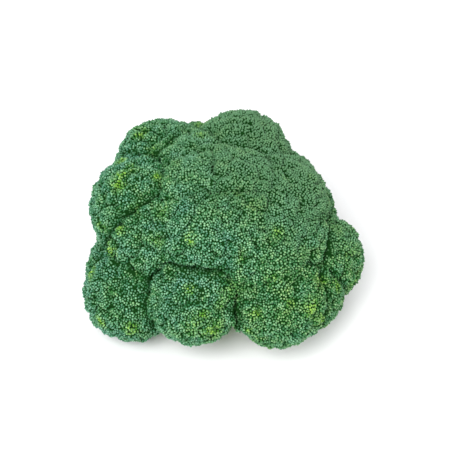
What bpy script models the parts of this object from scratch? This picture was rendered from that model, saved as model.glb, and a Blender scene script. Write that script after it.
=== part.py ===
"""A head of broccoli, cut with a short stalk, standing crown up on the cut.

Metres, +Z up. The origin is the centre of the flat cut face, on the surface that it stands on.
The stalk forks into one branch for each floret, and each branch splits again under its floret.
The florets press together into one crown, with shallow seams between them. Each is a dome with
smaller domes on it, and clusters of buds stand out all over it.
"""

import math
import random

import bmesh
import bpy
import numpy as np
from mathutils import Matrix, Vector
from mathutils.geometry import intersect_point_line

# Driving dimensions, in metres
HUB_HEIGHT = 0.036          # the point that the florets spread from, above the cut
STEM_RADIUS = 0.0215        # of the cut face, on the ridge between two flutes
STEM_FLUTES = 5
FLUTE_DEPTH = 0.0011
STEM_STAGE = 0.010          # the stem grows in stages of this height
STEM_WIDENING = (0.98, 1.03, 0.94, 0.72)    # the width of each stage's top against the one below
FLOOR_GAP = 0.003           # the lowest florets stay this far above the surface
CORE_HEIGHT = 0.062         # the middle of the core that fills the crown between its domes
CORE_RADII = (0.067, 0.063, 0.0495)
DOME_FLOW = 0.0038          # how widely the domes and the core flow into each other
GAP = 0.0003                # between two pieces that touch
CLUSTER_SPACING = 0.0063    # between two neighbouring clusters of buds
CLUSTER_RELIEF = 0.0018     # from the furrows between clusters to their tops
SEAM_WIDTH = 0.0070         # how widely a floret rounds over into the seam with its neighbour
SEAM_DEPTH = 0.0024         # of a seam between two level florets. Between upright ones it is less
SHALLOWEST_SEAM = 0.35      # of a seam on the very top, as a share of that depth
HIDDEN_DEPTH = 0.004        # clusters reach this far past a plane that the floret is cut at
HIDDEN_THINNING = 5         # further in, only one point in so many is needed
NEIGHBOUR_REACH = 0.020     # florets whose domes are further apart than this don't press on each other
LEAST_ROOM = 0.3            # a floret keeps this share of the way to a neighbour, and more if it is larger
UNDERSIDE_DROP = 0.42       # depth of a floret below its widest place, as a share of its radius
DOMELET_ANGLE = math.radians(22)    # from the middle of a smaller dome to its edge
DOMELET_SINK = 0.0011       # how far the edge of a smaller dome lies below its middle
DOMELET_RINGS = ((40, 6), (78, 11))     # the smaller domes round a floret's top: tilt in degrees, number
DOMELET_PLAY = (9, 7)       # how many degrees one may be out of its even turn and tilt
DOMELET_REACH = 1.3         # the surface sinks no further past this many times the angle to the edge
BRANCHLETS = 4              # round the end of each branch

# Sizes of a branch, as shares of its floret's radius
FORK_DEPTH = 0.5            # from the fork to the floret's underside
BRANCH_RADII = (0.40, 0.27, 0.22)   # at its root, at the fork and at its end
BRANCHLET_RADIUS = 0.14
BRANCHLET_SPREAD = (0.52, 0.62)     # the least and the most that its tip stands aside
BRANCHLET_PLAY = math.radians(9)    # how far one may be turned from its even place
BRANCHLET_MARGIN = 0.17     # from the middle of its tip to the next floret
SIDEWAYS = 0.05             # a branchlet less turned to a neighbour than this can't reach it
BRANCH_CLEARANCE = 0.32     # from a branch's middle to the other florets
BRANCH_ROOT = 0.78          # the height of an upright floret's root, as a share of the hub's height
SIDE_ROOT_DROP = 0.30       # how much lower the root of a level floret's branch is, likewise

# Each floret's place, seen from the hub: the direction round the head from +X in degrees, the tilt
# from upright in degrees, the reach from the hub to the top of its dome and the dome's radius, in
# millimetres. Each ring goes round from the front left of the head.
LOW_FLORETS = (
    (215, 93, 99, 31), (254, 81, 87, 29), (303, 83, 97, 30), (322, 89, 92, 25), (343, 83, 95, 28),
    (30, 89, 85, 28), (70, 88, 85, 29), (112, 90, 85, 29), (150, 87, 87, 28), (195, 92, 88, 23),
)
MIDDLE_FLORETS = (
    (209, 55, 85, 28), (252, 37, 83, 25), (304, 63, 83, 28), (328, 61, 82, 25), (353, 43, 86, 28),
    (38, 68, 80, 25), (66, 34, 91, 31), (106, 57, 84, 25), (140, 50, 95, 31), (184, 53, 95, 32),
)
TOP_FLORETS = (
    (222, 16, 82, 25), (290, 32, 83, 24), (320, 42, 83, 24), (315, 14, 84, 26), (140, 20, 81, 26),
)
RINGS = {"low": LOW_FLORETS, "middle": MIDDLE_FLORETS, "top": TOP_FLORETS}

BUD_GREEN = (0.052, 0.155, 0.058, 1.0)
STALK_GREEN = (0.46, 0.60, 0.27, 1.0)

SKIN_STEPS = 30             # enough for a point to settle on the crown's skin
SLIVER = 0.00002            # edges shorter than this are dissolved
GOLDEN_ANGLE = math.pi * (3 - math.sqrt(5))
HUB = Vector((0, 0, HUB_HEIGHT))


def clear_scene():
    for old in list(bpy.data.objects):
        bpy.data.objects.remove(old)


def plain_material(name, colour, roughness):
    material = bpy.data.materials.new(name)
    material.use_nodes = True
    shader = material.node_tree.nodes["Principled BSDF"]
    shader.inputs["Base Color"].default_value = colour
    shader.inputs["Roughness"].default_value = roughness
    shader.inputs["Metallic"].default_value = 0.0
    return material


def object_from(bm, name, material):
    """Turn a bmesh into an object of the scene with one material, and free the bmesh."""
    mesh = bpy.data.meshes.new(name)
    bm.to_mesh(mesh)
    bm.free()
    mesh.materials.append(material)
    piece = bpy.data.objects.new(name, mesh)
    bpy.context.scene.collection.objects.link(piece)
    return piece


class Floret:
    """The place and the size of one floret, with its branch's root and its growing direction."""

    def __init__(self, name, direction, tilt, reach, radius):
        self.name = name
        self.radius = radius / 1000
        self.seed = direction * 7 + tilt
        turn = math.radians(direction)
        lean = math.radians(tilt)
        outward = Vector((math.sin(lean) * math.cos(turn), math.sin(lean) * math.sin(turn), math.cos(lean)))
        self.centre = HUB + outward * (reach / 1000 - self.radius)
        # The lower a floret sits, the lower on the stem its branch leaves.
        self.root = Vector((0, 0, HUB_HEIGHT * (BRANCH_ROOT - SIDE_ROOT_DROP * math.sin(lean) ** 2)))
        self.axis = (self.centre - self.root).normalized()
        self.drop = UNDERSIDE_DROP * self.radius
        self.branch_end = self.centre - self.axis * (self.drop + GAP)


def all_florets():
    florets = []
    for ring, rows in RINGS.items():
        for number, row in enumerate(rows, start=1):
            florets.append(Floret(f"floret_{ring}_{number:02d}", *row))
    return florets


# The shape of a floret

def spread_directions(count):
    """Directions spread evenly over a ball, as buds spread on a growing tip."""
    index = np.arange(count)
    height = 1 - 2 * (index + 0.5) / count
    ring = np.sqrt(1 - height ** 2)
    turn = index * GOLDEN_ANGLE
    return np.column_stack((ring * np.cos(turn), ring * np.sin(turn), height))


def turned_to(axis, directions):
    """Turn directions round +Z so that they go round an axis."""
    turn = np.array(Vector((0, 0, 1)).rotation_difference(axis).to_matrix())
    return directions @ turn.T


def domelet_axes(floret):
    """The middles of the smaller domes: one on top, and two rings round it, a little uneven."""
    draw = random.Random(floret.seed)
    axes = [(0.0, 0.0, 1.0)]
    for tilt, count in DOMELET_RINGS:
        start = draw.uniform(0, 360)
        for step in range(count):
            turn = math.radians(start + 360 * step / count + DOMELET_PLAY[0] * draw.uniform(-1, 1))
            lean = math.radians(tilt + DOMELET_PLAY[1] * draw.uniform(-1, 1))
            axes.append((math.sin(lean) * math.cos(turn), math.sin(lean) * math.sin(turn), math.cos(lean)))
    return turned_to(floret.axis, np.array(axes))


def beyond_skin(points, florets):
    """How far points are outside the skin of the whole crown, and below 0 inside it.

    The skin wraps every dome and the core, an egg shape, and flows smoothly from one to the next.
    """
    centres = np.array([floret.centre for floret in florets])
    radii = np.array([floret.radius for floret in florets])
    beyond = np.linalg.norm(points[:, None] - centres, axis=2) - radii
    scaled = (points - np.array((0, 0, CORE_HEIGHT))) / CORE_RADII
    out = np.linalg.norm(scaled, axis=1)
    beyond_core = out * (out - 1) / np.linalg.norm(scaled / CORE_RADII, axis=1)
    beyond = np.column_stack((beyond, beyond_core))
    least = beyond.min(axis=1, keepdims=True)
    return least[:, 0] - DOME_FLOW * np.log(np.exp((least - beyond) / DOME_FLOW).sum(axis=1))


def dome_distance(floret, florets, directions):
    """How far the skin is from the floret's centre, with the smaller domes on it.

    Each step moves a point along its direction by as much as it is short of the skin.
    """
    distance = np.full(len(directions), floret.radius)
    for _ in range(SKIN_STEPS):
        points = np.array(floret.centre) + directions * distance[:, None]
        distance = np.clip(distance - beyond_skin(points, florets), 0, 2 * floret.radius)
    nearest = (directions @ domelet_axes(floret).T).max(axis=1)
    angle = np.arccos(np.clip(nearest, -1, 1)) / DOMELET_ANGLE
    return distance - DOMELET_SINK * np.minimum(angle, DOMELET_REACH) ** 2


def seam_planes(floret, florets):
    """The planes where neighbours press: outward direction, distance from the centre, depth of the seam."""
    planes = []
    for other in florets:
        apart = other.centre - floret.centre
        distance = apart.length
        if other is floret or distance > floret.radius + other.radius + NEIGHBOUR_REACH:
            continue
        # Two neighbours part where their spheres meet.
        meeting = (distance ** 2 + floret.radius ** 2 - other.radius ** 2) / (2 * distance)
        meeting = min(max(meeting, LEAST_ROOM * distance), (1 - LEAST_ROOM) * distance)
        level = 1 - (floret.axis.z + other.axis.z) / 2
        depth = SEAM_DEPTH * (SHALLOWEST_SEAM + (1 - SHALLOWEST_SEAM) * min(level, 1))
        planes.append((apart / distance, meeting - GAP / 2, depth))
    return planes


def clearing_planes(floret, florets):
    """The planes that keep a floret above the surface and off the other branches."""
    planes = [(Vector((0, 0, -1)), floret.centre.z - FLOOR_GAP)]
    for other in florets:
        if other is floret:
            continue
        _, share = intersect_point_line(floret.centre, other.root, other.branch_end)
        to_branch = other.root.lerp(other.branch_end, min(max(share, 0), 1)) - floret.centre
        clear = to_branch.length - BRANCH_CLEARANCE * other.radius
        if clear < 2 * floret.radius:
            planes.append((to_branch.normalized(), clear))
    return planes


def side_planes(floret, florets):
    """All the planes round a floret, as (outward direction, distance from its centre)."""
    seams = [(outward, limit) for outward, limit, _ in seam_planes(floret, florets)]
    return seams + clearing_planes(floret, florets)


def seamed_distance(floret, florets, directions):
    """The distance from the floret's centre to its surface, which dips into the seams."""
    distance = dome_distance(floret, florets, directions)
    dip = np.zeros(len(directions))
    for outward, limit, depth in seam_planes(floret, florets):
        aside = np.abs(limit - distance * (directions @ np.array(outward)))
        dip = np.maximum(dip, depth * np.maximum(1 - aside / SEAM_WIDTH, 0) ** 2)
    return distance - dip


def cut_flat(bm, point, outward):
    """Take off what lies beyond a plane, and close the cut with a flat face."""
    everything = list(bm.verts) + list(bm.edges) + list(bm.faces)
    bmesh.ops.bisect_plane(bm, geom=everything, plane_co=point, plane_no=outward, clear_outer=True)
    bmesh.ops.holes_fill(bm, edges=[edge for edge in bm.edges if edge.is_boundary], sides=0)


def make_floret(floret, florets, material):
    """A bumpy dome, cut flat at its neighbours: each cluster of buds is a low pyramid in furrows."""
    area_per_cluster = CLUSTER_SPACING ** 2 * math.sqrt(3) / 2
    count = round(4 * math.pi * floret.radius ** 2 / area_per_cluster)
    directions = turned_to(floret.axis, spread_directions(count))
    distance = dome_distance(floret, florets, directions)
    cuts = side_planes(floret, florets) + [(-floret.axis, floret.drop)]
    hidden = np.zeros(count, bool)
    for outward, limit in cuts:
        hidden |= distance * (directions @ np.array(outward)) > limit + HIDDEN_DEPTH
    kept = ~hidden | (np.arange(count) % HIDDEN_THINNING == 0)

    bm = bmesh.new()
    free = bm.verts.layers.int.new("free")
    for direction, buried in zip(directions[kept], hidden[kept]):
        bm.verts.new(direction)[free] = 0 if buried else 1
    bmesh.ops.convex_hull(bm, input=bm.verts)
    clustered = [face for face in bm.faces if all(vert[free] for vert in face.verts)]
    chosen = set(clustered)
    shared = [edge for edge in bm.edges if all(face in chosen for face in edge.link_faces)]
    furrows = bmesh.ops.poke(bm, faces=clustered)["verts"]
    bmesh.ops.rotate_edges(bm, edges=shared)

    for vert in bm.verts:
        vert.co.normalize()
    bm.verts.index_update()
    lift = np.array([CLUSTER_RELIEF / 2 if vert[free] else 0.0 for vert in bm.verts])
    for vert in furrows:
        lift[vert.index] = -CLUSTER_RELIEF / 2
    outward = np.array([vert.co for vert in bm.verts])
    for vert, length in zip(bm.verts, seamed_distance(floret, florets, outward) + lift):
        vert.co = floret.centre + vert.co * length
    bmesh.ops.recalc_face_normals(bm, faces=bm.faces)
    for outward, limit in cuts:
        cut_flat(bm, floret.centre + outward * limit, outward)
    bmesh.ops.dissolve_degenerate(bm, edges=bm.edges, dist=SLIVER)
    return object_from(bm, floret.name, material)


# The stalk and its branches

def tube(name, points, radii, sides, facing, material):
    """A closed tube through points, with every ring, and so both ends, square to one direction."""
    bm = bmesh.new()
    turn = facing.to_track_quat("Z", "Y").to_matrix().to_4x4()
    below = []
    for point, radius in zip(points, radii):
        place = Matrix.Translation(point) @ turn
        verts = bmesh.ops.create_circle(bm, segments=sides, radius=radius, matrix=place)["verts"]
        ring = list({edge for vert in verts for edge in vert.link_edges})
        if below:
            bmesh.ops.bridge_loops(bm, edges=below + ring)
        below = ring
    bmesh.ops.holes_fill(bm, edges=[edge for edge in bm.edges if edge.is_boundary], sides=sides)
    bmesh.ops.recalc_face_normals(bm, faces=bm.faces)
    return object_from(bm, name, material)


def make_stem(material):
    """The fluted stem, from the flat cut up to where the upper branches leave it."""
    bm = bmesh.new()
    sides = 4 * STEM_FLUTES
    bmesh.ops.create_circle(bm, cap_ends=True, segments=sides, radius=STEM_RADIUS)
    for vert in bm.verts:
        turn = math.atan2(vert.co.y, vert.co.x)
        vert.co *= 1 - FLUTE_DEPTH / STEM_RADIUS * (0.5 - 0.5 * math.cos(STEM_FLUTES * turn))
    for widening in STEM_WIDENING:
        top = max(bm.faces, key=lambda face: face.calc_center_median().z)
        raised = bmesh.ops.extrude_discrete_faces(bm, faces=[top])["faces"][0]
        bmesh.ops.translate(bm, verts=raised.verts, vec=(0, 0, STEM_STAGE))
        bmesh.ops.scale(bm, verts=raised.verts, vec=(widening, widening, 1))
    # The first extrusion took the disc up with it, so the cut face is filled again.
    bmesh.ops.holes_fill(bm, edges=[edge for edge in bm.edges if edge.is_boundary], sides=sides)
    bmesh.ops.recalc_face_normals(bm, faces=bm.faces)
    return object_from(bm, "stalk", material)


def room_aside(planes, start, aside, margin):
    """How far a branchlet can lean aside before it comes within a margin of a neighbour's floret."""
    room = 1.0
    for outward, limit in planes:
        towards = aside.dot(outward)
        if towards > SIDEWAYS:
            room = min(room, (limit - margin - start.dot(outward)) / towards)
    return room


def branch_tubes(floret, florets, material):
    """The primary branch of a floret, and the branchlets that fan out to its underside."""
    planes = side_planes(floret, florets)
    draw = random.Random(floret.seed + 1)
    radius = floret.radius
    end = floret.branch_end
    fork = end - floret.axis * FORK_DEPTH * radius
    across = floret.axis.orthogonal().normalized()
    radii = [share * radius for share in BRANCH_RADII]
    tubes = [tube(floret.name + "_branch", [floret.root, fork, end], radii, 6, floret.axis, material)]
    start = draw.uniform(0, 2 * math.pi)
    for step in range(BRANCHLETS):
        turn = start + 2 * math.pi * step / BRANCHLETS + BRANCHLET_PLAY * draw.uniform(-1, 1)
        aside = Matrix.Rotation(turn, 3, floret.axis) @ across
        room = room_aside(planes, end - floret.centre, aside, BRANCHLET_MARGIN * radius)
        spread = min(radius * draw.uniform(*BRANCHLET_SPREAD), room)
        points = [fork - floret.axis * BRANCHLET_RADIUS * radius, end + aside * spread]
        name = f"{floret.name}_branchlet_{step}"
        tubes.append(tube(name, points, [BRANCHLET_RADIUS * radius] * 2, 5, floret.axis, material))
    return tubes


def make_stalk(florets, material):
    """Stem, branches and branchlets, joined into one solid."""
    stem = make_stem(material)
    branches = bpy.data.collections.new("branches")
    bpy.context.scene.collection.children.link(branches)
    for floret in florets:
        for piece in branch_tubes(floret, florets, material):
            bpy.context.scene.collection.objects.unlink(piece)
            branches.objects.link(piece)
    union = stem.modifiers.new("union", "BOOLEAN")
    union.operation = "UNION"
    union.operand_type = "COLLECTION"
    union.collection = branches
    union.solver = "MANIFOLD"
    joined = bpy.data.meshes.new_from_object(stem.evaluated_get(bpy.context.evaluated_depsgraph_get()))
    stem.modifiers.remove(union)
    stem.data = joined
    for piece in list(branches.objects):
        bpy.data.objects.remove(piece)
    bpy.data.collections.remove(branches)
    return stem


def main():
    clear_scene()
    florets = all_florets()
    stalk_material = plain_material("stalk_green", STALK_GREEN, 0.45)
    bud_material = plain_material("bud_green", BUD_GREEN, 0.6)
    stalk = make_stalk(florets, stalk_material)
    pieces = [stalk] + [make_floret(floret, florets, bud_material) for floret in florets]
    for piece in pieces:
        triangles = sum(len(face.vertices) - 2 for face in piece.data.polygons)
        print(f"{piece.name}: {triangles} triangles")


main()
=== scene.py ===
# %% [markdown]
# # A head of broccoli
#
# A head of broccoli is a tree in miniature. A thick stalk forks into branches, each branch forks
# again, and every last twig ends in a closed flower bud about 2 mm across. The buds stand so close
# together that the eye sees rounded florets with a grainy skin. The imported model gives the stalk
# and the florets as plain solids with clusters larger than life. This script keeps their form and
# grows the real surface on it: some thirty thousand separate buds, the twigs that carry them, and
# the ribbed stalk with its cut face.

# %% Load the frame
import math
import random

import bmesh
import bpy
import numpy as np
from mathutils import Matrix, Vector, noise
from mathutils.bvhtree import BVHTree
from mathutils.kdtree import KDTree


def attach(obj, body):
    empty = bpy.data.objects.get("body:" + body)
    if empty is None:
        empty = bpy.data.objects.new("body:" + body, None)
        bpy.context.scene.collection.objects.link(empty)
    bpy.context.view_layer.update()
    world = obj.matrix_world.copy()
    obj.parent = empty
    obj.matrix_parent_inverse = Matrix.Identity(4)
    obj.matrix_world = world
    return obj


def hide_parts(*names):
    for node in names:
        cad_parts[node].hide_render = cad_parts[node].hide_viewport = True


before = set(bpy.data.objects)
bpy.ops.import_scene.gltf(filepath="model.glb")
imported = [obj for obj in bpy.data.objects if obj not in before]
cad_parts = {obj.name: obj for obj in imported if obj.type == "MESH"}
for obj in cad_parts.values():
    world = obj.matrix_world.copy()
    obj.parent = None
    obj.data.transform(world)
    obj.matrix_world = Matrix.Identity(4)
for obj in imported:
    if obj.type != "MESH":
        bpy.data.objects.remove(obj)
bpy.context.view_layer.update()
floret_names = sorted(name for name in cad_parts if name.startswith("floret_"))
MM = 0.001


# %% [markdown]
# ## The camera
#
# The photograph looks down on the head at about 44 degrees, from far enough away that the lines
# hardly converge. A long lens at 775 mm gives the same picture. The camera comes first, because the
# places of the yellowing patches further down are read through it.

# %% Place the camera
PHOTO_SIDE = 453            # pixels on each side of the square picture
FOCAL_PIXELS = 1200         # the lens's focal length, in those pixels
SENSOR_WIDTH = 36.0
CAMERA_ELEVATION = math.radians(44)
CAMERA_DISTANCE = 775 * MM
AIM = Vector((4 * MM, 0, 53.5 * MM))

camera_data = bpy.data.cameras.new("camera")
camera_data.sensor_width = SENSOR_WIDTH
camera_data.lens = SENSOR_WIDTH * FOCAL_PIXELS / PHOTO_SIDE
camera = bpy.data.objects.new("camera", camera_data)
bpy.context.scene.collection.objects.link(camera)
towards_camera = Vector((0, -math.cos(CAMERA_ELEVATION), math.sin(CAMERA_ELEVATION)))
camera.location = AIM + towards_camera * CAMERA_DISTANCE
camera.rotation_euler = (math.pi / 2 - CAMERA_ELEVATION, 0, 0)
bpy.context.scene.camera = camera
print(f"lens {camera_data.lens:.1f} mm")

# %% [markdown]
# ## Helpers
#
# Every piece ends the same way: its bmesh becomes an object at the origin, with smooth faces, a
# material, the body that it rides on and the name of the solid that it stands for.

# %% Finish a piece
def finish_piece(bm, name, materials, node):
    """Turn a bmesh into a piece of the head. The bmesh itself is used up."""
    mesh = bpy.data.meshes.new(name)
    bm.to_mesh(mesh)
    bm.free()
    mesh.shade_smooth()
    for material in materials:
        mesh.materials.append(material)
    piece = bpy.data.objects.new(name, mesh)
    bpy.context.scene.collection.objects.link(piece)
    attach(piece, "root")
    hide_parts(node)
    return piece


def triangle_count(mesh):
    return sum(len(polygon.vertices) - 2 for polygon in mesh.polygons)


# %% [markdown]
# ## Writing shaders as sums
#
# A node tree is easier to read as arithmetic. This small class wraps a socket, so that `a * 0.5 + b`
# adds the Math nodes. Any other node comes from `Shader.node`.

# %% The shader helper
class Value:
    """An output socket of a node, which sums can be written with."""

    def __init__(self, shader, socket):
        self.shader = shader
        self.socket = socket

    def maths(self, operation, *others, clamp=False):
        settings = {"operation": operation, "use_clamp": clamp}
        return self.shader.node("ShaderNodeMath", settings, [self, *others])

    def __add__(self, other):
        return self.maths("ADD", other)

    def __radd__(self, other):
        return self.maths("ADD", other)

    def __sub__(self, other):
        return self.maths("SUBTRACT", other)

    def __rsub__(self, other):
        flipped = self.maths("MULTIPLY", -1.0)
        return flipped.maths("ADD", other)

    def __mul__(self, other):
        return self.maths("MULTIPLY", other)

    def __rmul__(self, other):
        return self.maths("MULTIPLY", other)

    def __pow__(self, other):
        return self.maths("POWER", other)

    def clamped(self):
        return self.maths("ADD", 0.0, clamp=True)


class Shader:
    """A material's node tree, which starts from a Principled BSDF with some constants."""

    def __init__(self, name, **constants):
        self.material = bpy.data.materials.new(name)
        self.material.use_nodes = True
        self.tree = self.material.node_tree
        self.surface = self.tree.nodes["Principled BSDF"]
        for socket, value in constants.items():
            self.surface.inputs[socket.replace("_", " ")].default_value = value

    def node(self, kind, settings=None, inputs=None, output=0):
        made = self.tree.nodes.new(kind)
        for name, value in (settings or {}).items():
            if name == "stops":
                set_stops(made.color_ramp, value)
            else:
                setattr(made, name, value)
        pairs = inputs.items() if isinstance(inputs, dict) else enumerate(inputs or [])
        for key, value in pairs:
            if isinstance(value, Value):
                self.tree.links.new(value.socket, made.inputs[key])
            else:
                made.inputs[key].default_value = value
        return Value(self, made.outputs[output])

    def mix(self, share, below, above):
        """Blend two colours by a share."""
        # the node's sockets for colours come after those for numbers and vectors
        settings = {"data_type": "RGBA", "clamp_factor": True}
        return self.node("ShaderNodeMix", settings, {0: share, 6: below, 7: above}, output=2)

    def noise(self, where, cells_per_metre, detail=2.0):
        inputs = {"Vector": where, "Scale": cells_per_metre, "Detail": detail}
        return self.node("ShaderNodeTexNoise", None, inputs)

    def ramp(self, share, *stops):
        return self.node("ShaderNodeValToRGB", {"stops": stops}, [share])

    def places(self):
        """Where each point of the piece lies, in metres."""
        return self.node("ShaderNodeTexCoord", output="Object")

    def feed(self, socket, value):
        self.tree.links.new(value.socket, self.surface.inputs[socket])


def set_stops(ramp, stops):
    while len(ramp.elements) < len(stops):
        ramp.elements.new(1.0)
    for element, (position, colour) in zip(ramp.elements, stops):
        element.position = position
        element.color = colour


# %% [markdown]
# ## The skin of the florets
#
# One attribute, `paint`, carries what a bud needs to know about itself: how near a point is to the
# bud's tip, the bud's own tone, how far it has ripened towards yellow, and how much painted shade it
# takes from the furrow it stands in. On the flesh the last of them tells the pale underside instead.
# The buds are blue-green, lighter on their tips with a waxy bloom and a painted highlight, darker at
# their feet with painted shade where they press together, and yellow-green where a patch begins to
# ripen. Wide, soft noise makes some florets bluer than others, and the head turns a little yellower
# from left to right. Painted shade darkens the buds deep in the furrows, and on the top of the head a
# thicker bloom and a painted sheen even them out.

# %% Bud material
# painted shade at the feet of the buds, where they press together, and in shallow furrows
FOOT_SHADE_GREEN = (0.004, 0.080, 0.006, 1)
DEEPEST_SHADE_GREEN = (0.002, 0.030, 0.003, 1)       # painted shade in the deepest furrows
BODY_GREENS = (
    (0.30, (0.030, 0.146, 0.070, 1)),
    (0.52, (0.034, 0.154, 0.036, 1)),
    (0.75, (0.068, 0.184, 0.020, 1)),
)
# the tips, by hue: a waxy bloom with a painted highlight
TIP_BLOOM_AND_HIGHLIGHT_GREENS = (
    (0.30, (0.285, 0.570, 0.490, 1)),
    (0.52, (0.300, 0.580, 0.360, 1)),
    (0.75, (0.400, 0.615, 0.225, 1)),
)
# a thicker bloom and a painted sheen on the top of the head even the colours out towards this
BLOOM_AND_SHEEN_GREEN = (0.100, 0.220, 0.108, 1)
BODY_GAIN = 1.5                     # how fast the body's green takes over from the painted shade at the foot, up the bud, less this, so that it begins a little above the foot
BODY_DELAY = 0.1                    # less this, so that it begins a little above the foot
BLOOM_EDGE = 2.7                    # the higher, the closer the bloom and the painted highlight keep to the tip
RIPE_GAIN = 1.3                     # how fast a ripe bud's colour takes over from the painted shade at its foot
DEPTH_GAIN = 2.0                    # how fast the painted shade turns from the foot's green to the deepest one as the shade grows, less this, so that shallow furrows keep the foot's green of painted shade
DEPTH_DELAY = 0.9                   # less this, so that shallow furrows keep the foot's green
DARKEST = 0.95                      # share of the painted shade's colour where the furrow is darkest
FLORET_GRAIN = 30.0                 # cells of noise in each metre: about as wide as a floret,
TUFT_GRAIN = 110.0                  # as two or three tufts,
WAX_GRAIN = 2600.0                  # and far finer than a bud
WAX_ROUGHNESS = 0.42                # where that finest noise is 0,
WAX_UNEVENNESS = 0.2                # and how much rougher the wax is where it is 1
MIDDLE_HUE = 0.49
FLORET_HUE = 0.3                    # how far the hue wanders from floret to floret,
TUFT_HUE = 0.45                     # from tuft to tuft,
OWN_HUE = 0.15                      # from bud to bud,
YELLOWING = 0.9                     # and in each metre to the right
HAZE_WAY = (0.45, 0.15, 0.88)       # the thicker bloom and the painted sheen grow this way, up and to the right
HAZE_START = 76 * MM
HAZE_DEPTH = 40 * MM
HAZE_SHARE = 0.82
RIPE_BODY = (0.072, 0.235, 0.008, 1)
RIPE_TIP = (0.315, 0.560, 0.105, 1)


def make_bud_material():
    shader = Shader("closed_buds", Specular_IOR_Level=0.12)
    where = shader.places()
    paint = shader.node("ShaderNodeAttribute", {"attribute_name": "paint"})
    parts = shader.node("ShaderNodeSeparateColor", None, [paint])
    tip, tone, ripe = (Value(shader, parts.socket.node.outputs[channel]) for channel in range(3))
    # how much painted shade the furrow that the bud stands in gives it
    shade = Value(shader, paint.socket.node.outputs["Alpha"])
    wide = shader.noise(where, FLORET_GRAIN, detail=1.0)
    narrow = shader.noise(where, TUFT_GRAIN)
    across = shader.node("ShaderNodeSeparateXYZ", None, [where], output="X")
    hue = (wide - 0.5) * FLORET_HUE + (narrow - 0.5) * TUFT_HUE + (tone - 0.5) * OWN_HUE
    hue = hue + across * YELLOWING + MIDDLE_HUE
    # painted shade at the bud's foot, where it presses on its neighbours
    grown = (tip * BODY_GAIN - BODY_DELAY).clamped()
    body = shader.mix(grown, FOOT_SHADE_GREEN, shader.ramp(hue, *BODY_GREENS))
    # the waxy bloom on the tip, with a painted highlight
    bloom_and_highlight = (tip ** BLOOM_EDGE) * tone
    green = shader.mix(bloom_and_highlight.clamped(), body, shader.ramp(hue, *TIP_BLOOM_AND_HIGHLIGHT_GREENS))
    yellow = shader.mix((tip * RIPE_GAIN).clamped(), FOOT_SHADE_GREEN, shader.mix(tone, RIPE_BODY, RIPE_TIP))
    lit = shader.mix(ripe, green, yellow)
    # painted shade in the furrows
    furrow_shade_colour = shader.mix((shade * DEPTH_GAIN - DEPTH_DELAY).clamped(), FOOT_SHADE_GREEN, DEEPEST_SHADE_GREEN)
    shaded_colour = shader.mix(shade * DARKEST, lit, furrow_shade_colour)
    # a thicker bloom and a painted sheen on the top of the head, a little to the right
    product = {"operation": "DOT_PRODUCT"}
    along = shader.node("ShaderNodeVectorMath", product, [where, HAZE_WAY], output="Value")
    haze = ((along - HAZE_START) * (1 / HAZE_DEPTH)).clamped() * HAZE_SHARE
    shader.feed("Base Color", shader.mix(haze, shaded_colour, BLOOM_AND_SHEEN_GREEN))
    fine = shader.noise(where, WAX_GRAIN)
    shader.feed("Roughness", WAX_ROUGHNESS + fine * WAX_UNEVENNESS)
    bump = shader.node("ShaderNodeBump", None, {"Strength": 0.35, "Distance": 0.12 * MM, "Height": fine})
    shader.feed("Normal", bump)
    return shader.material


bud_material = make_bud_material()
print("material closed_buds")

# %% [markdown]
# Between the buds the eye meets the flesh that they grow from: painted dark with shade where the buds
# cover it, and pale like the stalk on the underside, where the last twigs come together.

# %% Flesh material
# painted shade on the flesh where the buds cover it
FURROW_SHADE_GREENS = ((0.003, 0.024, 0.003, 1), (0.006, 0.045, 0.006, 1))
TWIG_GREENS = ((0.130, 0.240, 0.060, 1), (0.300, 0.440, 0.160, 1))
SPECKLE_GRAIN = 700.0


def make_flesh_material():
    shader = Shader("floret_flesh", Roughness=0.8, Specular_IOR_Level=0.04)
    where = shader.places()
    paint = shader.node("ShaderNodeAttribute", {"attribute_name": "paint"}, output="Alpha")
    speckle = shader.noise(where, SPECKLE_GRAIN, detail=3.0)
    # painted shade on the flesh between the buds
    furrow = shader.mix(speckle, *FURROW_SHADE_GREENS)
    twigs = shader.mix(speckle, *TWIG_GREENS)
    shader.feed("Base Color", shader.mix(paint, furrow, twigs))
    bump = shader.node("ShaderNodeBump", None, {"Strength": 0.5, "Distance": 0.4 * MM, "Height": speckle})
    shader.feed("Normal", bump)
    return shader.material


flesh_material = make_flesh_material()
print("material floret_flesh")

# %% [markdown]
# ## The flesh under the buds
#
# Each floret's solid is a dome, cut flat where its neighbours press on it, with a low pyramid for
# each cluster of buds. A voxel remesh gives a copy of it an even skin, and a little smoothing rounds
# the pyramids into soft swellings and the sharp rims into shoulders.

# %% Shape the flesh
MERGE = 0.01 * MM                   # corners nearer to each other than this are one
FLESH_VOXEL = 1.2 * MM
FLESH_SMOOTHING = 3                 # rounds
SMOOTH_SHARE = 0.5                  # how far a round takes a corner towards its neighbours' middle
FORK = Vector((0, 0, 22 * MM))      # the height on the stalk where the branches part
CROWN_MIDDLE = Vector((0, 0, 55 * MM))


def solid_copy(name):
    """A copy of a solid as a bmesh, with the corners of its loose triangles merged."""
    bm = bmesh.new()
    bm.from_mesh(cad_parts[name].data)
    bmesh.ops.remove_doubles(bm, verts=bm.verts, dist=MERGE)
    return bm


def through_modifiers(mesh, *modifiers):
    """A new mesh, as one comes out of some modifiers, each given by its kind and its settings."""
    draft = bpy.data.objects.new("draft", mesh)
    bpy.context.scene.collection.objects.link(draft)
    for kind, settings in modifiers:
        modifier = draft.modifiers.new(kind.lower(), kind)
        for name, value in settings.items():
            setattr(modifier, name, value)
    changed = bpy.data.meshes.new_from_object(draft.evaluated_get(bpy.context.evaluated_depsgraph_get()))
    bpy.data.objects.remove(draft)
    return changed


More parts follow.
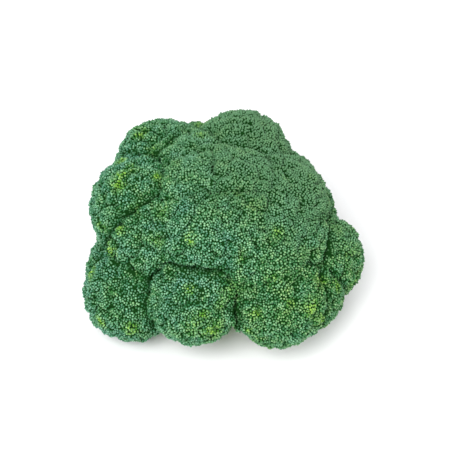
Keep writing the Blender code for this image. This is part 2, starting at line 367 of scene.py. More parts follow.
def reworked(bm, voxel, smoothing):
    """A bmesh's surface with an even and smooth skin, as a mesh. The bmesh itself is used up."""
    mesh = bpy.data.meshes.new("draft")
    bm.to_mesh(mesh)
    bm.free()
    even = ("REMESH", {"mode": "VOXEL", "voxel_size": voxel})
    soft = ("SMOOTH", {"factor": SMOOTH_SHARE, "iterations": smoothing})
    finished = through_modifiers(mesh, even, soft)
    bpy.data.meshes.remove(mesh)
    return finished


def read_array(collection, field, width, kind=float):
    """A field of a mesh's corners, edges or triangles as an array with one row each."""
    values = np.empty(len(collection) * width, kind)
    collection.foreach_get(field, values)
    return values.reshape(-1, width)


class Skin:
    """The flesh of one floret, with its corners and triangles as arrays."""

    def __init__(self, name):
        self.mesh = reworked(solid_copy(name), FLESH_VOXEL, FLESH_SMOOTHING)
        self.mesh.calc_loop_triangles()
        self.triangles = read_array(self.mesh.loop_triangles, "vertices", 3, int)
        self.edges = read_array(self.mesh.edges, "vertices", 2, int)
        self.read()
        self.axis = (Vector(self.places.mean(axis=0)) - FORK).normalized()

    def read(self):
        self.places = read_array(self.mesh.vertices, "co", 3)
        self.normals = read_array(self.mesh.vertices, "normal", 3)

    def spread(self, values, rounds):
        """Even out one value for each corner with the values of the corners next to it."""
        a, b = self.edges.T
        degree = np.bincount(a, minlength=len(values)) + np.bincount(b, minlength=len(values))
        for _ in range(rounds):
            total = np.bincount(a, values[b], len(values)) + np.bincount(b, values[a], len(values))
            values = (values + total / degree) / 2
        return values

    def sink(self, depth):
        """Move every corner towards the middle of the crown by its own depth."""
        inward = np.array(CROWN_MIDDLE) - self.places
        inward /= np.linalg.norm(inward, axis=1, keepdims=True)
        self.mesh.vertices.foreach_set("co", (self.places + inward * depth[:, None]).ravel())
        self.mesh.update()
        self.read()


skins = {name: Skin(name) for name in floret_names}
print(f"flesh: {sum(len(skin.triangles) for skin in skins.values())} triangles")

# %% [markdown]
# ## Where buds can grow
#
# Buds need light and room. A point of the flesh bears buds if no neighbour touches it, if it can see
# out of the crown, and if it isn't on the underside, where there are only twigs. Rays cast against
# all the florets together answer the first two questions.

# %% Find the free surface
CONTACT = 1.1 * MM          # a neighbour nearer than this touches
RAY_START = 0.2 * MM        # a ray starts this far off the flesh
OUT_OF_SIGHT = 70 * MM      # a ray that gets this far has left the crown
RIM = -0.42                 # buds end where the surface turns this far from the floret's axis
SHOULDER_RINGS = 2          # buds go on for so many rings of corners into a seam, and close it
REACHED = 0.01              # what a corner in the last of those rings has at least, after the spreading


def crown_tree():
    """One search tree over the flesh of every floret, and the floret that each triangle belongs to."""
    corners = []
    faces = []
    owners = []
    for name, skin in skins.items():
        start = len(corners)
        corners += skin.places.tolist()
        faces += (skin.triangles + start).tolist()
        owners += [name] * len(skin.triangles)
    return BVHTree.FromPolygons(corners, faces), owners


crowd, owners = crown_tree()


def look(place, direction):
    """How far a ray gets before it meets a floret, and which floret that is."""
    _, _, face, distance = crowd.ray_cast(place + direction * RAY_START, direction, OUT_OF_SIGHT)
    return (OUT_OF_SIGHT, None) if face is None else (distance, owners[face])


def sees_out(place, normal, clear):
    """Tell whether light gets to a place, straight ahead or from a little further outward."""
    if clear == OUT_OF_SIGHT:
        return True
    away = (place - CROWN_MIDDLE).normalized()
    return clear > CONTACT and look(place, (normal + away).normalized())[0] == OUT_OF_SIGHT


def find_free(skin):
    """Tell the corners that bear buds, and those that a neighbour touches, with its name."""
    pairs = [(Vector(place), Vector(normal)) for place, normal in zip(skin.places, skin.normals)]
    seen = [look(*pair) for pair in pairs]
    outside = np.array([sees_out(*pair, clear) for pair, (clear, _) in zip(pairs, seen)])
    free = outside & (skin.normals @ np.array(skin.axis) > RIM)
    skin.free = skin.spread(free.astype(float), SHOULDER_RINGS) > REACHED
    skin.touching = [other if clear <= CONTACT else None for clear, other in seen]


for skin in skins.values():
    find_free(skin)
print(f"free corners: {sum(skin.free.sum() for skin in skins.values())}")

# %% [markdown]
# ## Seams
#
# Where two florets meet, the buds of both close the crown, and some seams can hardly be seen. Others
# are deep furrows, sunk into the flesh and darkened with painted shade. The photograph shows which of
# them are deep on the front of the head. Elsewhere a seam is the deeper, the lower it lies. A corner
# finds its seam by the nearest corner that touches a neighbour.

# %% Measure the seams
# How deep a seam is, and how dark the painted shade on its buds, from 0 to 1, between two florets that
# the photograph shows
SEAMS = {
    "low_02": {"middle_02": 1.0, "low_01": 0.8, "middle_03": 0.6, "low_03": 1.0, "middle_01": 0.9},
    "middle_10": {"middle_01": 1.0, "top_05": 0.8, "top_01": 0.5, "middle_09": 0.9, "low_10": 0.8},
    "middle_09": {"top_05": 0.8, "middle_07": 0.9},
    "middle_07": {"top_05": 0.7, "top_04": 0.6, "middle_05": 0.5},
    "low_05": {"middle_04": 1.0, "low_04": 0.6, "middle_05": 0.7},
    "low_10": {"low_01": 0.7, "middle_01": 0.7},
    "low_03": {"low_04": 0.6, "middle_03": 0.25},
    "low_01": {"middle_01": 0.3},
    "middle_05": {"middle_04": 0.35, "top_03": 0.15, "top_04": 0.25},
    "top_01": {"middle_02": 0.4, "middle_01": 0.5, "top_04": 0.3, "top_02": 0.1, "top_05": 0.5},
    "top_02": {"top_03": 0.15, "top_04": 0.6, "middle_02": 0.15, "middle_03": 0.15},
    "top_03": {"top_04": 0.35, "middle_04": 0.15, "middle_03": 0.15},
    "middle_02": {"middle_01": 0.25, "middle_03": 0.15},
    "middle_03": {"middle_04": 0.15},
}
UNSEEN_SEAM = 0.2           # how deep the other seams are on the top,
UNSEEN_SEAM_RISE = 0.5      # and how much deeper where both florets face sideways
SEAM_DEPTH = 3.4 * MM       # of the deepest furrow, beyond the dip in the solid
SEAM_WIDTH = 2.3 * MM       # from its middle to where it has mostly risen again


def seam_strength(name, other):
    """How deep the seam between two florets is, from 0 to 1."""
    short, other_short = name.removeprefix("floret_"), other.removeprefix("floret_")
    for one, two in ((short, other_short), (other_short, short)):
        if two in SEAMS.get(one, {}):
            return SEAMS[one][two]
    return UNSEEN_SEAM + UNSEEN_SEAM_RISE * (1 - (skins[name].axis.z + skins[other].axis.z) / 2)


def tree_over(places):
    tree = KDTree(len(places))
    for index, place in enumerate(places):
        tree.insert(place, index)
    tree.balance()
    return tree


def measure_seams(name):
    """How deep the seam furrow is at every corner, and how far a corner is down in a seam."""
    skin = skins[name]
    touched = np.array([other is not None for other in skin.touching])
    beside_free = skin.spread(touched.astype(float), 1) < 1 - REACHED
    rim = np.flatnonzero(touched & beside_free)
    inner = tree_over(skin.places[rim])
    found = [inner.find(place) for place in skin.places]
    away = np.array([distance for _, _, distance in found])
    strength = np.array([seam_strength(name, skin.touching[rim[index]]) for _, index, _ in found])
    skin.furrow = strength * np.exp(-(away / SEAM_WIDTH) ** 2)
    skin.cover = np.where(touched, np.exp(-(away / SEAM_WIDTH) ** 2), 1.0)


for name in floret_names:
    measure_seams(name)
print(f"deepest seam: {max(skin.furrow.max() for skin in skins.values()) * SEAM_DEPTH / MM:.1f} mm")

# %% [markdown]
# ## Swellings and tufts
#
# Between the size of a floret and the size of a bud there are more steps: every floret is made of
# swellings about 10 mm wide, and each of those of tufts about 4 mm wide. The middles of both are
# strewn over the whole crown with a least distance. Furrows run between them, half way from one
# middle to the next, sunk into the flesh and darkened with painted shade. Some are deep and most are
# faint, which noise at the point between the two middles settles, so that no two florets are alike.

# %% Strew the swellings and the tufts
DOME_REACH = 0.75           # how far a dome slopes down from its middle, as a share of the spacing
FURROW_MEAN = 0.35          # a furrow's strength, from 0 to 1, before the noise is added
FURROW_SPREAD = 2.6         # how strongly the noise sways it
FURROW_GRAIN = 3.2          # cells of that noise in each spacing, so that neighbouring furrows differ


class Lumps:
    """Little domes strewn over the crown, with furrows of uneven depth between them."""

    def __init__(self, spacing, width, seed):
        self.spacing = spacing      # the least from one middle to another
        self.width = width          # of a furrow, from its middle to where it has mostly risen again
        free_places = np.concatenate([skin.places[skin.free] for skin in skins.values()])
        np.random.default_rng(seed).shuffle(free_places)
        middles = free_places[thinned_out(free_places, spacing)]
        self.tree = tree_over(middles)
        print(f"{len(middles)} lumps, {spacing / MM:.1f} mm apart")

    def measure(self, places):
        """How far down on its dome each place is, and how near to a furrow, both from 0 to 1."""
        hollow = np.empty(len(places))
        furrow = np.empty(len(places))
        for index, place in enumerate(places):
            (first, _, near), (second, _, far) = self.tree.find_n(place, 2)
            between = (first + second) / 2
            strength = FURROW_MEAN + FURROW_SPREAD * noise.noise(between * FURROW_GRAIN / self.spacing)
            hollow[index] = min(near / (DOME_REACH * self.spacing), 1.0) ** 2
            furrow[index] = min(max(strength, 0.0), 1.0) * math.exp(-((far - near) / 2 / self.width) ** 2)
        return hollow, furrow


def thinned_out(places, spacing):
    """The numbers of the places that are left when each kept place strikes out those close to it."""
    tree = tree_over(places)
    struck = np.zeros(len(places), bool)
    kept = []
    for index in range(len(places)):
        if not struck[index]:
            kept.append(index)
            struck[[near for _, near, _ in tree.find_range(places[index], spacing)]] = True
    return kept


swellings = Lumps(spacing=8.0 * MM, width=1.2 * MM, seed=5)
tufts = Lumps(spacing=3.4 * MM, width=0.65 * MM, seed=6)

# %% [markdown]
# The flesh is then moved in or out along the way to the middle of the crown. It lies a little
# outside the solid's surface on top of a swelling, and sinks towards the furrows and the seams.

# %% Shape the surface
RISE = 0.5 * MM             # how far the flesh stands out of the solid on top of a swelling
SWELLING_HEIGHT = 1.1 * MM  # of a swelling's dome over its foot
SWELLING_FURROW = 2.2 * MM  # depth of the deepest furrow between two swellings
TUFT_FURROW = 0.7 * MM      # depth of the deepest furrow between two tufts
UNEVEN = 0.9 * MM           # wider lumps and hollows, up to this far either way
UNEVEN_WIDTH = 16 * MM
KNOBS = 1.4 * MM            # how far the ends of the twigs stand out of the underside
KNOB_WIDTH = 4 * MM
UNDERSIDE = -0.6            # the underside turns at least this far from the floret's axis


def shape_surface(skin):
    hollow, furrow = swellings.measure(skin.places)
    _, tuft_furrow = tufts.measure(skin.places)
    uneven = np.array([noise.noise(place / UNEVEN_WIDTH) for place in map(Vector, skin.places)])
    depth = SWELLING_HEIGHT * hollow + SWELLING_FURROW * furrow + TUFT_FURROW * tuft_furrow
    knobs = np.array([noise.noise(place / KNOB_WIDTH) for place in map(Vector, skin.places)])
    depth += KNOBS * knobs * (skin.normals @ np.array(skin.axis) < UNDERSIDE)
    skin.sink((depth + UNEVEN * uneven - RISE) * skin.cover + SEAM_DEPTH * skin.furrow)


for skin in skins.values():
    shape_surface(skin)
crowd, owners = crown_tree()
print(f"the flesh reaches up to {max(skin.places[:, 2].max() for skin in skins.values()) / MM:.1f} mm")

# %% [markdown]
# ## Where the buds stand
#
# Buds crowd together but never one on top of another, and their rows are too short for the eye to
# follow. Random places with a least distance give just that: many points are strewn on the free
# surface, and each one that is kept strikes out the others close to it. The buds stand tightest on
# the top of the head and a little looser on the low florets, and in the furrows some are missing.

# %% Spread the buds
LEAST_SPACING = (1.30 * MM, 1.20 * MM)      # on the lowest florets and on the top
STREWN = 14                 # points strewn for each square of the least spacing
SEAM_BREAKS = 4 * MM        # a seam's painted shade is now darker and now lighter, in stretches about this long
SEAM_GAIN = 1.15            # how dark a seam's painted shade is against its depth, and how far that rises and falls along it
SEAM_UNEVENNESS = 1.1       # and how far that rises and falls along it
MISSING_SHARE = 0.40        # of the buds in the deepest furrows
SHADES = (0.97, 0.60, 0.25)         # how dark the painted shade is in a seam, between swellings and between tufts


def seed_of(name):
    return sum(map(ord, name))


def spread_buds(name):
    """Place, outward direction and shade of every bud of a floret, as three arrays."""
    skin = skins[name]
    draw = np.random.default_rng(seed_of(name))
    free = skin.triangles[skin.free[skin.triangles].all(axis=1)]
    a, b, c = (skin.places[free[:, corner]] for corner in range(3))
    areas = np.linalg.norm(np.cross(b - a, c - a), axis=1) / 2
    loose, tight = LEAST_SPACING
    spacing = loose + (tight - loose) * max(skin.axis.z, 0.0)
    count = int(STREWN * areas.sum() / spacing ** 2)
    chosen = draw.choice(len(free), count, p=areas / areas.sum())
    share = np.sqrt(draw.random(count))
    split = draw.random(count)
    weights = np.column_stack((1 - share, share * (1 - split), share * split))
    places = (skin.places[free[chosen]] * weights[:, :, None]).sum(axis=1)
    normals = (skin.normals[free[chosen]] * weights[:, :, None]).sum(axis=1)
    normals /= np.linalg.norm(normals, axis=1, keepdims=True)
    seam = (skin.furrow[free[chosen]] * weights).sum(axis=1)
    kept = np.array(thinned_out(places, spacing))
    places, normals, seam = places[kept], normals[kept], seam[kept]
    broken = np.array([noise.noise(place / SEAM_BREAKS) for place in map(Vector, places)])
    seam = np.clip(seam * (SEAM_GAIN + SEAM_UNEVENNESS * broken), 0, 1)
    furrows = (seam, swellings.measure(places)[1], tufts.measure(places)[1])
    # the painted shade that the seam, swelling and tuft furrows give each bud, as the light left to it
    light = np.prod([1 - shade * furrow for shade, furrow in zip(SHADES, furrows)], axis=0)
    kept = draw.random(len(places)) > MISSING_SHARE * (1 - light) ** 2
    return places[kept], normals[kept], 1 - light[kept]


buds = {name: spread_buds(name) for name in floret_names}
print(f"{sum(len(places) for places, _, _ in buds.values())} buds")

# %% [markdown]
# ## One bud
#
# A closed bud is a small egg on a short stem, widest half way up. A circle is extruded twice, widened
# and then narrowed, and the last ring is poked to a point. Only the top half ever shows, so five sides
# and three rings are enough, and thirty thousand copies stay light.

# %% Model the bud
BUD_PROFILE = ((0.0, 0.60), (0.50, 1.0), (0.84, 0.62))   # height and radius, as shares of the bud's own
BUD_SIDES = 5


def make_bud_mesh():
    """A bud of height 1 and radius 1, with its tipness in the paint attribute."""
    bm = bmesh.new()
    paint = bm.verts.layers.float_color.new("paint")
    bmesh.ops.create_circle(bm, cap_ends=True, segments=BUD_SIDES, radius=BUD_PROFILE[0][1])
    top = bm.faces[:][0]
    for (low, narrow), (high, wide) in zip(BUD_PROFILE, BUD_PROFILE[1:]):
        raised = bmesh.ops.extrude_discrete_faces(bm, faces=[top])["faces"][0]
        bmesh.ops.translate(bm, verts=raised.verts, vec=(0, 0, high - low))
        bmesh.ops.scale(bm, verts=raised.verts, vec=(wide / narrow, wide / narrow, 1))
        top = raised
    poked = bmesh.ops.poke(bm, faces=[top])["verts"][0]
    poked.co.z = 1.0
    bmesh.ops.holes_fill(bm, edges=[edge for edge in bm.edges if edge.is_boundary], sides=BUD_SIDES)
    bmesh.ops.recalc_face_normals(bm, faces=bm.faces)
    for vert in bm.verts:
        vert[paint] = (vert.co.z, 0.0, 0.0, 0.0)
    mesh = bpy.data.meshes.new("one_bud")
    bm.to_mesh(mesh)
    bm.free()
    return mesh


bud_mesh = make_bud_mesh()
print(f"one bud: {triangle_count(bud_mesh)} triangles")

# %% [markdown]
# ## Ripening patches
#
# Here and there a few buds together have begun to turn yellow-green. The largest patches are placed
# where the photograph shows them: a ray from the camera through the pixel finds the floret there.
# Others are scattered over the sides and the back by a seeded draw.

# %% Place the patches
# The middle of each patch in the photograph, in pixels, and its radius in millimetres
PHOTO_PATCHES = (
    (313, 309, 6.0), (213, 330, 6.0), (119, 185, 4.5), (158, 176, 3.0), (189, 240, 3.5), (111, 250, 4.5),
    (92, 272, 4.0), (132, 327, 4.0), (101, 321, 3.5), (204, 314, 3.0), (277, 232, 3.5), (256, 312, 3.5),
    (337, 286, 3.5), (322, 281, 3.0), (290, 302, 2.5), (190, 289, 3.0), (248, 330, 2.5), (122, 162, 3.0),
    (312, 177, 3.0), (237, 195, 2.5), (120, 229, 3.0), (200, 135, 3.0), (320, 320, 4.0),
)
# The same for patches that have only just begun to turn
FAINT_PATCHES = (
    (231, 286, 6.0), (274, 279, 5.0), (255, 207, 5.0), (333, 226, 5.0), (243, 259, 4.0), (221, 306, 4.0),
    (153, 152, 5.0), (131, 170, 4.0), (137, 208, 4.0), (163, 212, 5.0), (157, 241, 4.0), (346, 252, 6.0),
    (196, 325, 7.0),
)
FAINT = 0.5                 # how far they have turned, against the others
SCATTERED_PATCHES = 26
SCATTERED_RADII = (2.0, 4.5)        # in millimetres
SIDE = 50 * MM              # a floret is on a side of the head if it is this far out
PATCH_PEAK = 1.4            # over 1, so that the middle of a patch is ripe all over
PATCH_REACH = 1.7           # where a patch ends, in radii
OWN_RIPENESS = (0.15, 1.05)         # the least and the most of that which one bud takes up


def patch_middles():
    """The middle, the radius and the ripeness of every patch, as three arrays."""
    patches = []
    camera_turn = camera.rotation_euler.to_matrix()
    half = PHOTO_SIDE / 2
    seen = [(*patch, 1.0) for patch in PHOTO_PATCHES] + [(*patch, FAINT) for patch in FAINT_PATCHES]
    for across, down, radius, ripe in seen:
        ray = camera_turn @ Vector((across - half, half - down, -FOCAL_PIXELS)).normalized()
        hit = crowd.ray_cast(camera.location, ray)[0]
        if hit is not None:
            patches.append((*hit, radius * MM, ripe))
    draw = random.Random(11)
    middles = {name: places.mean(axis=0) for name, (places, _, _) in buds.items()}
    unseen = [name for name in floret_names if middles[name][1] > 0 or abs(middles[name][0]) > SIDE]
    for _ in range(SCATTERED_PATCHES):
        places = buds[draw.choice(unseen)][0]
        patches.append((*draw.choice(places), draw.uniform(*SCATTERED_RADII) * MM, 1.0))
    patches = np.array(patches)
    return patches[:, :3], patches[:, 3], patches[:, 4]


patch_places, patch_radii, patch_ripeness = patch_middles()
print(f"{len(patch_radii)} patches")


def ripeness(places, draw):
    """From 0, green, to 1, yellow, for the buds at some places."""
    apart = np.linalg.norm(places[:, None] - patch_places, axis=2)
    ripe = (PATCH_PEAK * patch_ripeness * (1 - apart / (PATCH_REACH * patch_radii))).max(axis=1)
    return np.clip(ripe * draw.uniform(*OWN_RIPENESS, len(places)), 0, 1)


# %% [markdown]
# ## Grow the florets
#
# An Array modifier makes the copies of the bud, all in one place, and numpy then gives each copy its
# own place, direction, lean and size in one sweep, which is far quicker than a loop over thirty
# thousand buds. Flesh and buds make one piece, which replaces the floret's solid.

# %% Build each floret
BUD_RADIUS = 0.84 * MM
BUD_HEIGHT = 1.15 * MM      # how far a bud stands out of the flesh
BUD_FOOT = 0.55 * MM        # how deep a bud's foot sits in the flesh
RADIUS_RANGE = (0.84, 1.14)
HEIGHT_RANGE = (0.82, 1.18)
SHADED_RADIUS = 0.15        # how much narrower a bud is in the deepest furrows,
SHADED_HEIGHT = 0.2         # and how much shorter
BUD_LEAN = 0.16             # spread of the random lean
STEEP = 0.8                 # a direction that rises more than this is squared up against X, not Z
OUTWARD_PULL = 0.6          # how far a bud turns from its own flesh towards the light
BARE_WIDTH = 3 * MM         # how far from the buds the underside is as pale as the twigs
PALE_START = 0.35           # how far the flesh turns from the floret's axis where it begins to be pale
PALE_GAIN = 3               # and how fast it grows pale from there
FLESH_KEPT = 0.15           # share of the flesh's triangles left once the buds hide it


def copies_of(mesh, count):
    """A mesh that holds a number of copies of another, all in one place."""
    return through_modifiers(mesh, ("ARRAY", {"count": count, "relative_offset_displace": (0, 0, 0)}))


def across_of(directions, draw):
    """Two directions square to each direction and to each other, turned at random."""
    helper = np.where(np.abs(directions[:, 2:]) < STEEP, (0.0, 0.0, 1.0), (1.0, 0.0, 0.0))
    first = np.cross(helper, directions)
    first /= np.linalg.norm(first, axis=1, keepdims=True)
    second = np.cross(directions, first)
    turn = draw.uniform(0, math.tau, (len(directions), 1))
    return first * np.cos(turn) + second * np.sin(turn), second * np.cos(turn) - first * np.sin(turn)


def grown_buds(name):
    """All the buds of a floret as one mesh."""
    places, normals, shade = buds[name]
    count = len(places)
    draw = np.random.default_rng(seed_of(name) + 1)
    outward = places - np.array(CROWN_MIDDLE)
    outward /= np.linalg.norm(outward, axis=1, keepdims=True)
    upright = normals + outward * OUTWARD_PULL + draw.normal(0, BUD_LEAN, (count, 3))
    upright /= np.linalg.norm(upright, axis=1, keepdims=True)
    first, second = across_of(upright, draw)
    radius = BUD_RADIUS * draw.uniform(*RADIUS_RANGE, count) * (1 - SHADED_RADIUS * shade)
    height = (BUD_HEIGHT + BUD_FOOT) * draw.uniform(*HEIGHT_RANGE, count) * (1 - SHADED_HEIGHT * shade)
    mesh = copies_of(bud_mesh, count)
    shape = read_array(bud_mesh.vertices, "co", 3)
    corners = (places - normals * BUD_FOOT)[:, None]
    for axis, (way, size) in enumerate(((first, radius), (second, radius), (upright, height))):
        corners = corners + (way * size[:, None])[:, None] * shape[:, axis, None]
    mesh.vertices.foreach_set("co", corners.ravel())
    paint = np.zeros((count, len(shape), 4))
    paint[:, :, 0] = shape[:, 2]
    paint[:, :, 1] = draw.random(count)[:, None]
    paint[:, :, 2] = ripeness(places, draw)[:, None]
    # the last channel holds the bud's painted shade
    paint[:, :, 3] = shade[:, None]
    mesh.attributes["paint"].data.foreach_set("color", paint.ravel())
    return mesh


def thinned(mesh, share):
    """A copy of a mesh with fewer triangles."""
    return through_modifiers(mesh, ("DECIMATE", {"ratio": share}))


def build_floret(name):
    bm = bmesh.new()
    paint = bm.verts.layers.float_color.new("paint")
    skin = skins[name]
    thin = thinned(skin.mesh, FLESH_KEPT)
    bm.from_mesh(thin)
    bm.normal_update()
    bearing = tree_over(skin.places[skin.free])
    for vert in bm.verts:
        under = min(max((-vert.normal.dot(skin.axis) - PALE_START) * PALE_GAIN, 0.0), 1.0)
        apart = min(bearing.find(vert.co)[2] / BARE_WIDTH, 1.0)
        vert[paint] = (0.0, 0.0, 0.0, under * apart)
    for face in bm.faces:
        face.material_index = 1
    grown = grown_buds(name)
    bm.from_mesh(grown)
    bpy.data.meshes.remove(thin)
    bpy.data.meshes.remove(grown)
    return finish_piece(bm, name + "_grown", [bud_material, flesh_material], name)


florets = [build_floret(name) for name in floret_names]
counts = [triangle_count(piece.data) for piece in florets]
print(f"florets: {sum(counts)} triangles, the largest {max(counts)}")

# %% [markdown]
# ## The stalk
#
# The stalk is smooth, pale and waxy, with faint fibres running up it. The cut face is paler still and
# moist, with the darker ring of the vessels that fed the head round a soft pith. One ramp over the
# distance from the middle paints that, and only at the very bottom of the piece.

# %% Stalk material
STEM_RADIUS = 21.5 * MM
SKIN_GREENS = ((0.240, 0.400, 0.110, 1), (0.400, 0.560, 0.230, 1))
FIBRE_GREEN = (0.500, 0.640, 0.340, 1)
FIBRE_SHARE = 0.6
FIBRE_STRETCH = (1.0, 1.0, 0.12)    # the pattern of the fibres is squeezed less up the stem than across
STEM_GRAIN = 90.0                   # cells of noise in each metre
FIBRE_GRAIN = 420.0
PORE_GRAIN = 900.0
PORE_SHARE = 0.5                    # of the pores in the relief, against 1 of the fibres
STALK_ROUGHNESS = 0.36              # where the finest noise is 0,
STALK_UNEVENNESS = 0.2              # and how much rougher the skin is where it is 1
CUT_COLOURS = (
    (0.00, (0.600, 0.680, 0.400, 1)),
    (0.60, (0.640, 0.710, 0.420, 1)),
    (0.72, (0.400, 0.520, 0.200, 1)),
    (0.80, (0.560, 0.650, 0.340, 1)),
    (0.97, (0.260, 0.420, 0.110, 1)),
)
RING_UNEVENNESS = 0.08              # how far that noise shifts the rings of the cut, in stem radii
CUT_PAINT_HEIGHT = 0.8 * MM         # the colours of the cut reach up to here


def make_stalk_material():
    shader = Shader("stalk_skin", Specular_IOR_Level=0.45)
    where = shader.places()
    wide = shader.noise(where, STEM_GRAIN)
    fine = shader.noise(where, PORE_GRAIN, detail=3.0)
    stretched = shader.node("ShaderNodeVectorMath", {"operation": "MULTIPLY"}, [where, FIBRE_STRETCH])
    fibres = shader.noise(stretched, FIBRE_GRAIN)
    skin = shader.mix(fibres * FIBRE_SHARE, shader.mix(wide, *SKIN_GREENS), FIBRE_GREEN)
    flat = shader.node("ShaderNodeVectorMath", {"operation": "MULTIPLY"}, [where, (1.0, 1.0, 0.0)])
    from_middle = shader.node("ShaderNodeVectorMath", {"operation": "LENGTH"}, [flat], output="Value")
    rings = from_middle * (1 / STEM_RADIUS) + (fine - 0.5) * RING_UNEVENNESS
    cut = shader.ramp(rings, *CUT_COLOURS)
    height = shader.node("ShaderNodeSeparateXYZ", None, [where], output="Z")
    bottom = (1 - height * (1 / CUT_PAINT_HEIGHT)).clamped()
    shader.feed("Base Color", shader.mix(bottom, skin, cut))
    shader.feed("Roughness", STALK_ROUGHNESS + fine * STALK_UNEVENNESS)
    relief = fine * PORE_SHARE + fibres
    bump = shader.node("ShaderNodeBump", None, {"Strength": 0.4, "Distance": 0.3 * MM, "Height": relief})
    shader.feed("Normal", bump)
    return shader.material


stalk_material = make_stalk_material()
print("material stalk_skin")

# %% [markdown]
# Under every floret the branch ends in a fan of twigs, which part again and again until each carries
# a bud. The last twigs that can be told apart are added here. Each is a tapered tube that starts
# inside the branch and bends out to a point of the floret's underside: a circle is extruded in three
# steps along the bend, and narrowed at the first two. The points are thinned out to a least
# distance, as the buds' places were.

# %% Grow the twigs
TWIG_SPACING = 7.5 * MM     # between the ends of two twigs on a floret's underside
TWIG_LENGTH = 13 * MM       # from where the twigs leave the branch to the middle of the underside
TWIG_RADII = (2.3 * MM, 1.9 * MM, 1.6 * MM, 1.6 * MM)
TWIG_SIDES = 6
TWIG_SWING = 0.5            # how far along it a twig keeps to the branch's direction before it bends
TWIG_SUNK = 1.2 * MM        # how deep its end sits in the floret
TWIG_RINGS = 4              # no twig ends within so many rings of corners of the first buds
CLEAR = 0.001               # what a corner outside those rings has at most, after the spreading


def add_twig(bm, points):
    """A tapered tube along a few points, closed at both ends."""
    facing = (points[-1] - points[0]).to_track_quat("Z", "Y").to_matrix().to_4x4()
    place = Matrix.Translation(points[0]) @ facing
    root = TWIG_RADII[0]
    circle = bmesh.ops.create_circle(bm, cap_ends=True, segments=TWIG_SIDES, radius=root, matrix=place)
    top = circle["verts"][0].link_faces[0]
    for start, end, wide, narrow in zip(points, points[1:], TWIG_RADII, TWIG_RADII[1:]):
        top = bmesh.ops.extrude_discrete_faces(bm, faces=[top])["faces"][0]
        bmesh.ops.translate(bm, verts=top.verts, vec=end - start)
        about_end = Matrix.Translation(-end)
        bmesh.ops.scale(bm, verts=top.verts, vec=(narrow / wide,) * 3, space=about_end)


def add_twigs(bm, skin):
    """The fan of twigs under one floret."""
    clear = skin.spread(skin.free.astype(float), TWIG_RINGS) < CLEAR
    under = skin.places[clear & (skin.normals @ np.array(skin.axis) < UNDERSIDE)]
    np.random.default_rng(len(under)).shuffle(under)
    middle = Vector(under.mean(axis=0))
    root = middle + (FORK - middle).normalized() * TWIG_LENGTH
    steps = [step / (len(TWIG_RADII) - 1) for step in range(len(TWIG_RADII))]
    for index in thinned_out(under, TWIG_SPACING):
        end = Vector(under[index]) + skin.axis * TWIG_SUNK
        bend = root + skin.axis * (end - root).length * TWIG_SWING
        add_twig(bm, [root.lerp(bend, step).lerp(bend.lerp(end, step), step) for step in steps])


# %% [markdown]
# A voxel remesh of the solid's copy and the twigs melts them into one skin, and a light smoothing
# takes the steps out. Low ribs follow the fibres. What lies lowest is pressed flat again, and the pith
# of the cut face shrinks a little as it dries.

# %% Model the stalk
STALK_VOXEL = 1.0 * MM
STALK_SMOOTHING = 4         # rounds
STALK_TRIANGLES = 58000     # left after thinning
RIB_HEIGHT = 0.35 * MM
RIB_SIZE = Vector((2.4 * MM, 2.4 * MM, 16 * MM))
CUT_SNAP = 0.6 * MM         # what lies this low is pressed flat onto the cut face
CUT_HOLLOW = 0.4 * MM
PITH_RADIUS = 0.62 * STEM_RADIUS


def shape_stalk(bm):
    """Raise the ribs, and press the cut flat with a slight hollow in its middle."""
    bm.normal_update()
    for vert in bm.verts:
        streak = Vector(place / size for place, size in zip(vert.co, RIB_SIZE))
        vert.co += vert.normal * RIB_HEIGHT * noise.noise(streak)
        if vert.co.z < CUT_SNAP:
            pith = 1 - (vert.co.xy.length / PITH_RADIUS) ** 2
            vert.co.z = CUT_HOLLOW * max(pith, 0.0)


def build_stalk():
    bm = solid_copy("stalk")
    for skin in skins.values():
        add_twigs(bm, skin)
    bmesh.ops.holes_fill(bm, edges=[edge for edge in bm.edges if edge.is_boundary], sides=TWIG_SIDES)
    bmesh.ops.recalc_face_normals(bm, faces=bm.faces)
    mesh = reworked(bm, STALK_VOXEL, STALK_SMOOTHING)
    bm = bmesh.new()
    bm.from_mesh(mesh)
    shape_stalk(bm)
    bm.to_mesh(mesh)
    bm.free()
    thin = thinned(mesh, STALK_TRIANGLES / triangle_count(mesh))
    bm = bmesh.new()
    bm.from_mesh(thin)
    return finish_piece(bm, "stalk_grown", [stalk_material], "stalk")


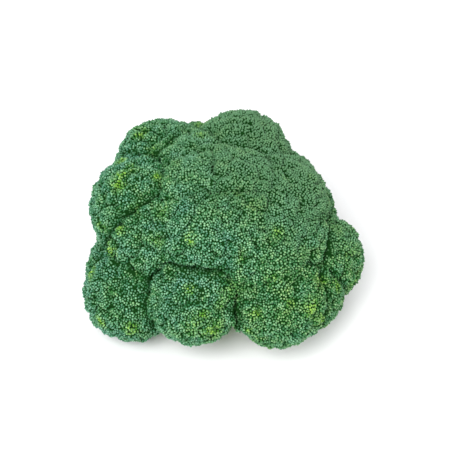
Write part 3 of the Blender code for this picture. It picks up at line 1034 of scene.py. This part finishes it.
stalk = build_stalk()
print(f"stalk: {triangle_count(stalk.data)} triangles")
print(f"in all: {sum(counts) + triangle_count(stalk.data)} triangles")

# %% [markdown]
# ## Floor and light
#
# The photograph is a plain studio picture: a white ground and large soft lights, one high in front
# and a weaker one from the side, with hardly any shadow. A weak low one behind serves the other views.

# %% Set the stage
FLOOR_WHITE = (0.93, 0.93, 0.94, 1)
FLOOR_SIZE = 3.0            # half of its side, in metres
SURROUNDINGS = (1.0, 1.0, 1.0, 1)
SURROUNDINGS_STRENGTH = 0.42
# Each lamp's name, its place and its width in metres, and its power in watts
LAMPS = (
    ("key", (-0.45, -0.90, 1.10), 0.9, 21.5),
    ("fill", (0.9, -0.7, 0.9), 1.2, 7),
    ("top", (0.0, -0.3, 1.5), 1.4, 7),
    ("behind", (0.1, 1.3, 0.35), 1.0, 6),
)


def make_floor():
    bm = bmesh.new()
    bmesh.ops.create_grid(bm, x_segments=1, y_segments=1, size=FLOOR_SIZE)
    mesh = bpy.data.meshes.new("floor")
    bm.to_mesh(mesh)
    bm.free()
    shader = Shader("floor_white", Base_Color=FLOOR_WHITE, Roughness=0.9, Specular_IOR_Level=0.1)
    mesh.materials.append(shader.material)
    floor = bpy.data.objects.new("floor", mesh)
    bpy.context.scene.collection.objects.link(floor)


def add_light(name, place, size, watts):
    light = bpy.data.lights.new(name, "AREA")
    light.shape = "DISK"
    light.size = size
    light.energy = watts
    lamp = bpy.data.objects.new(name, light)
    lamp.location = place
    lamp.rotation_euler = (AIM - Vector(place)).to_track_quat("-Z", "Y").to_euler()
    bpy.context.scene.collection.objects.link(lamp)


make_floor()
for lamp in LAMPS:
    add_light(*lamp)
world = bpy.data.worlds.new("studio")
world.use_nodes = True
background = world.node_tree.nodes["Background"]
background.inputs["Color"].default_value = SURROUNDINGS
background.inputs["Strength"].default_value = SURROUNDINGS_STRENGTH
bpy.context.scene.world = world
bpy.context.scene.view_settings.view_transform = "Standard"
print(f"{len(LAMPS)} lamps")
